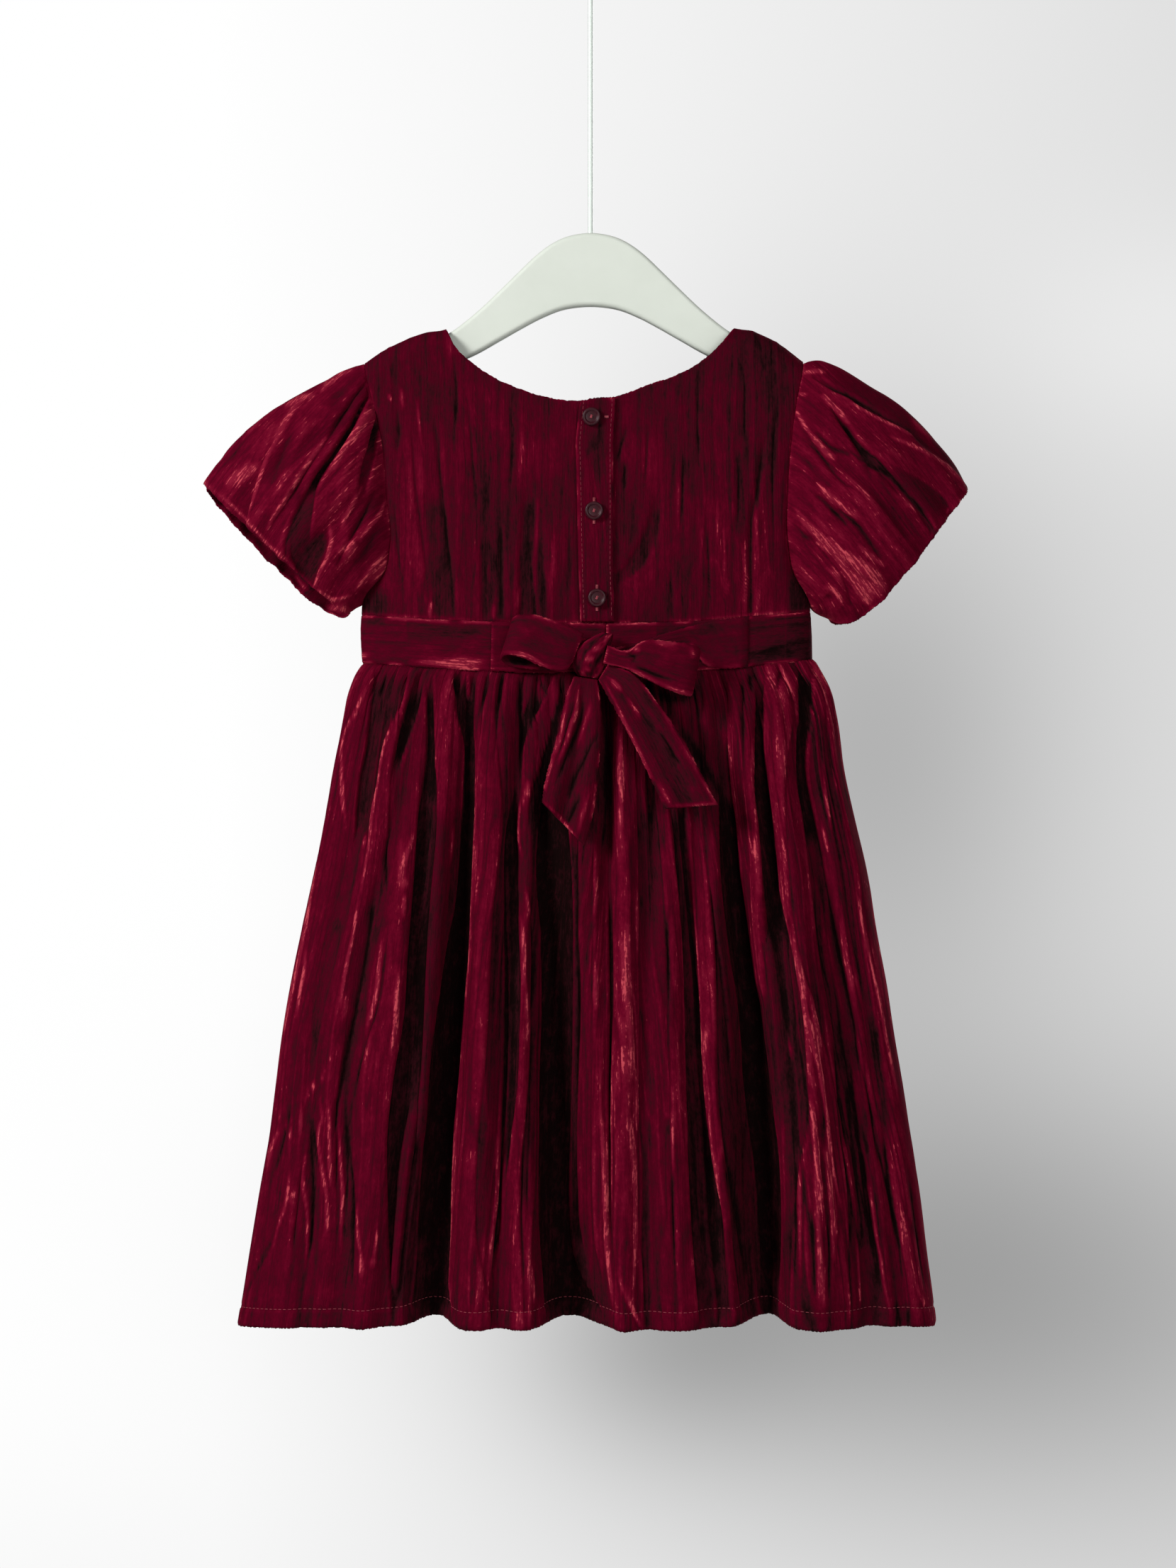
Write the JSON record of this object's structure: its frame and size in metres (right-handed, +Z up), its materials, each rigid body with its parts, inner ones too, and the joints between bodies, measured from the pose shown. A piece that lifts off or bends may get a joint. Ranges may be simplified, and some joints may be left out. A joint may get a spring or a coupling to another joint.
{
  "type": "toddler party dress on a hanger",
  "caption": "Short-sleeved velvet party dress with puff sleeves, buttoned back, sash bow and gathered skirt, hung on a flat contoured hanger.",
  "frame": {"origin": "the top of the hook's inner curve, where the hanger rests on a rail", "axes": "+Z up, away from the hem; the dress's buttoned back faces -Y and its front faces +Y; +X is to the right as seen from the back"},
  "size_m": [0.4535, 0.0994, 0.8543],
  "materials": {
    "crushed_velvet": "crushed velvet, deep crimson, soft sheen along the crinkles",
    "button_plastic": "dark crimson, satin",
    "sage_paint": "pale sage, matt",
    "rod_steel": "pale sage, satin"
  },
  "bodies": {
    "root": {"bodice_front": "crushed_velvet", "bodice_back_left": "crushed_velvet", "bodice_back_right": "crushed_velvet", "placket": "crushed_velvet", "sleeve_left": "crushed_velvet", "sleeve_right": "crushed_velvet", "waistband_front": "crushed_velvet", "waistband_back_left": "crushed_velvet", "waistband_back_right": "crushed_velvet", "tie_left": "crushed_velvet", "tie_right": "crushed_velvet", "bow_knot": "crushed_velvet", "bow_loop_left": "crushed_velvet", "bow_loop_right": "crushed_velvet", "bow_tail_left": "crushed_velvet", "bow_tail_right": "crushed_velvet", "skirt_front": "crushed_velvet", "skirt_back": "crushed_velvet", "button_top": "button_plastic", "button_middle": "button_plastic", "button_bottom": "button_plastic", "hanger_board": "sage_paint", "hanger_rod": "rod_steel"}
  },
  "joints": []
}
